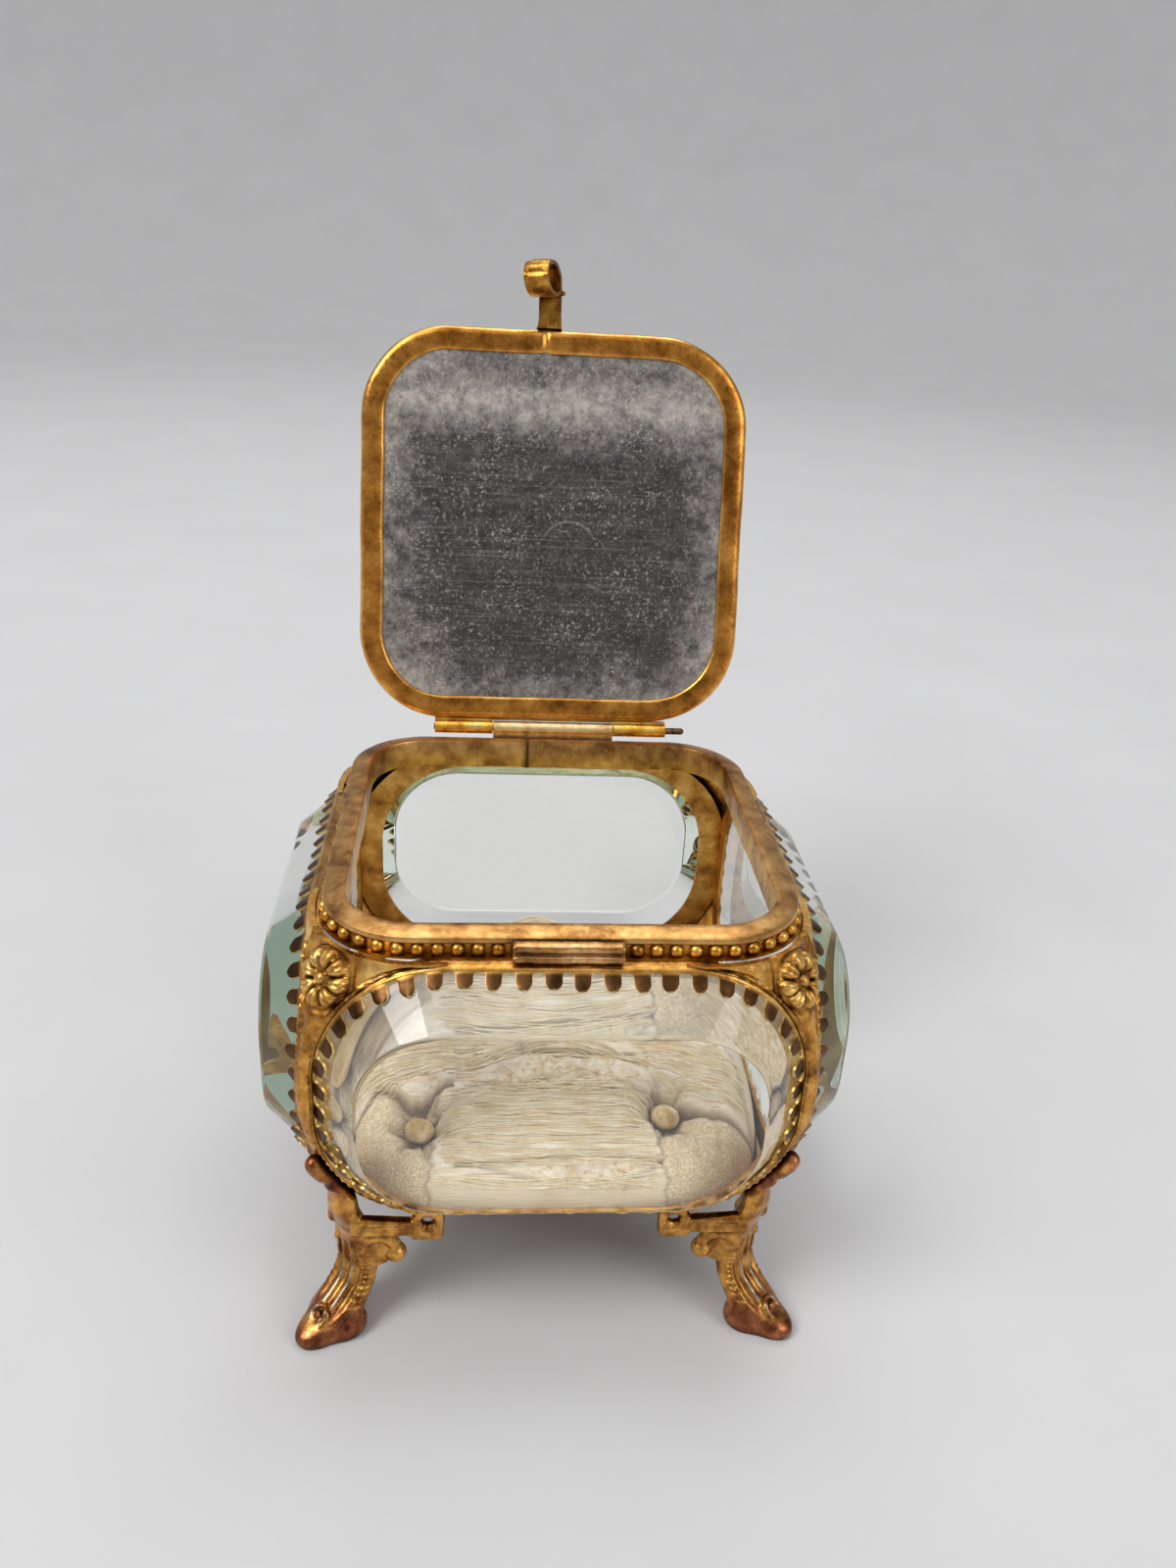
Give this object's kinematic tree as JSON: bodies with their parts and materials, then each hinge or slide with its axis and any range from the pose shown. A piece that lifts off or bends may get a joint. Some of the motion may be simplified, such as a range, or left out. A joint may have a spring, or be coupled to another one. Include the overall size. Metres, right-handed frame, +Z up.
{
  "type": "glass casket box",
  "caption": "Square gilt-brass and bevelled-glass trinket casket on cast feet, with a hinged glass lid, a curled clasp and a tufted silk cushion inside.",
  "frame": {"origin": "on the table, under the middle of the whole casket's outline with its lid open", "axes": "+X along the hinge, to the right of someone facing the catch; +Y from the front towards the hinge; +Z up from the table"},
  "size_m": [0.093, 0.1078, 0.1643],
  "materials": {
    "gilt_brass": "satin, worn gilt",
    "rim_brass": "satin, darkened",
    "bead_brass": "satin, darkened in the recesses",
    "corner_brass": "satin, darkened in the recesses",
    "foot_bronze": "satin, copper brown with gilt left on the high points",
    "pan_brass": "dull",
    "pale_brass": "satin",
    "pin_wire": "dull",
    "worn_silver": "dull, speckled",
    "clear_glass": "polished",
    "cream_silk": "matte, shattered silk",
    "button_cloth": "matte",
    "card": "matte"
  },
  "bodies": {
    "box": {"top_rim": "rim_brass", "bead_band": "bead_brass", "bezel_front": "gilt_brass", "bezel_back": "gilt_brass", "bezel_left": "gilt_brass", "bezel_right": "gilt_brass", "glass_front": "clear_glass", "glass_back": "clear_glass", "glass_left": "clear_glass", "glass_right": "clear_glass", "corner_front_left": "corner_brass", "corner_front_right": "corner_brass", "corner_back_left": "corner_brass", "corner_back_right": "corner_brass", "foot_front_left": "foot_bronze", "foot_front_right": "foot_bronze", "foot_back_left": "foot_bronze", "foot_back_right": "foot_bronze", "base_pan": "pan_brass", "cushion_card": "card", "cushion": "cream_silk", "tuft_buttons": "button_cloth", "catch_bar": "rim_brass", "hinge_body_leaf": "pale_brass", "hinge_pin": "pin_wire"},
    "lid": {"lid_frame": "gilt_brass", "lid_glass": "clear_glass", "lid_backing": "worn_silver", "hinge_lid_leaf": "gilt_brass", "clasp": "gilt_brass"}
  },
  "joints": [
    {"name": "lid_hinge", "type": "hinge", "parent": "box", "child": "lid", "pos_m": [0, 0.03124, 0.07867], "axis": [1, 0, 0], "range_deg": [0, 104.4]}
  ]
}
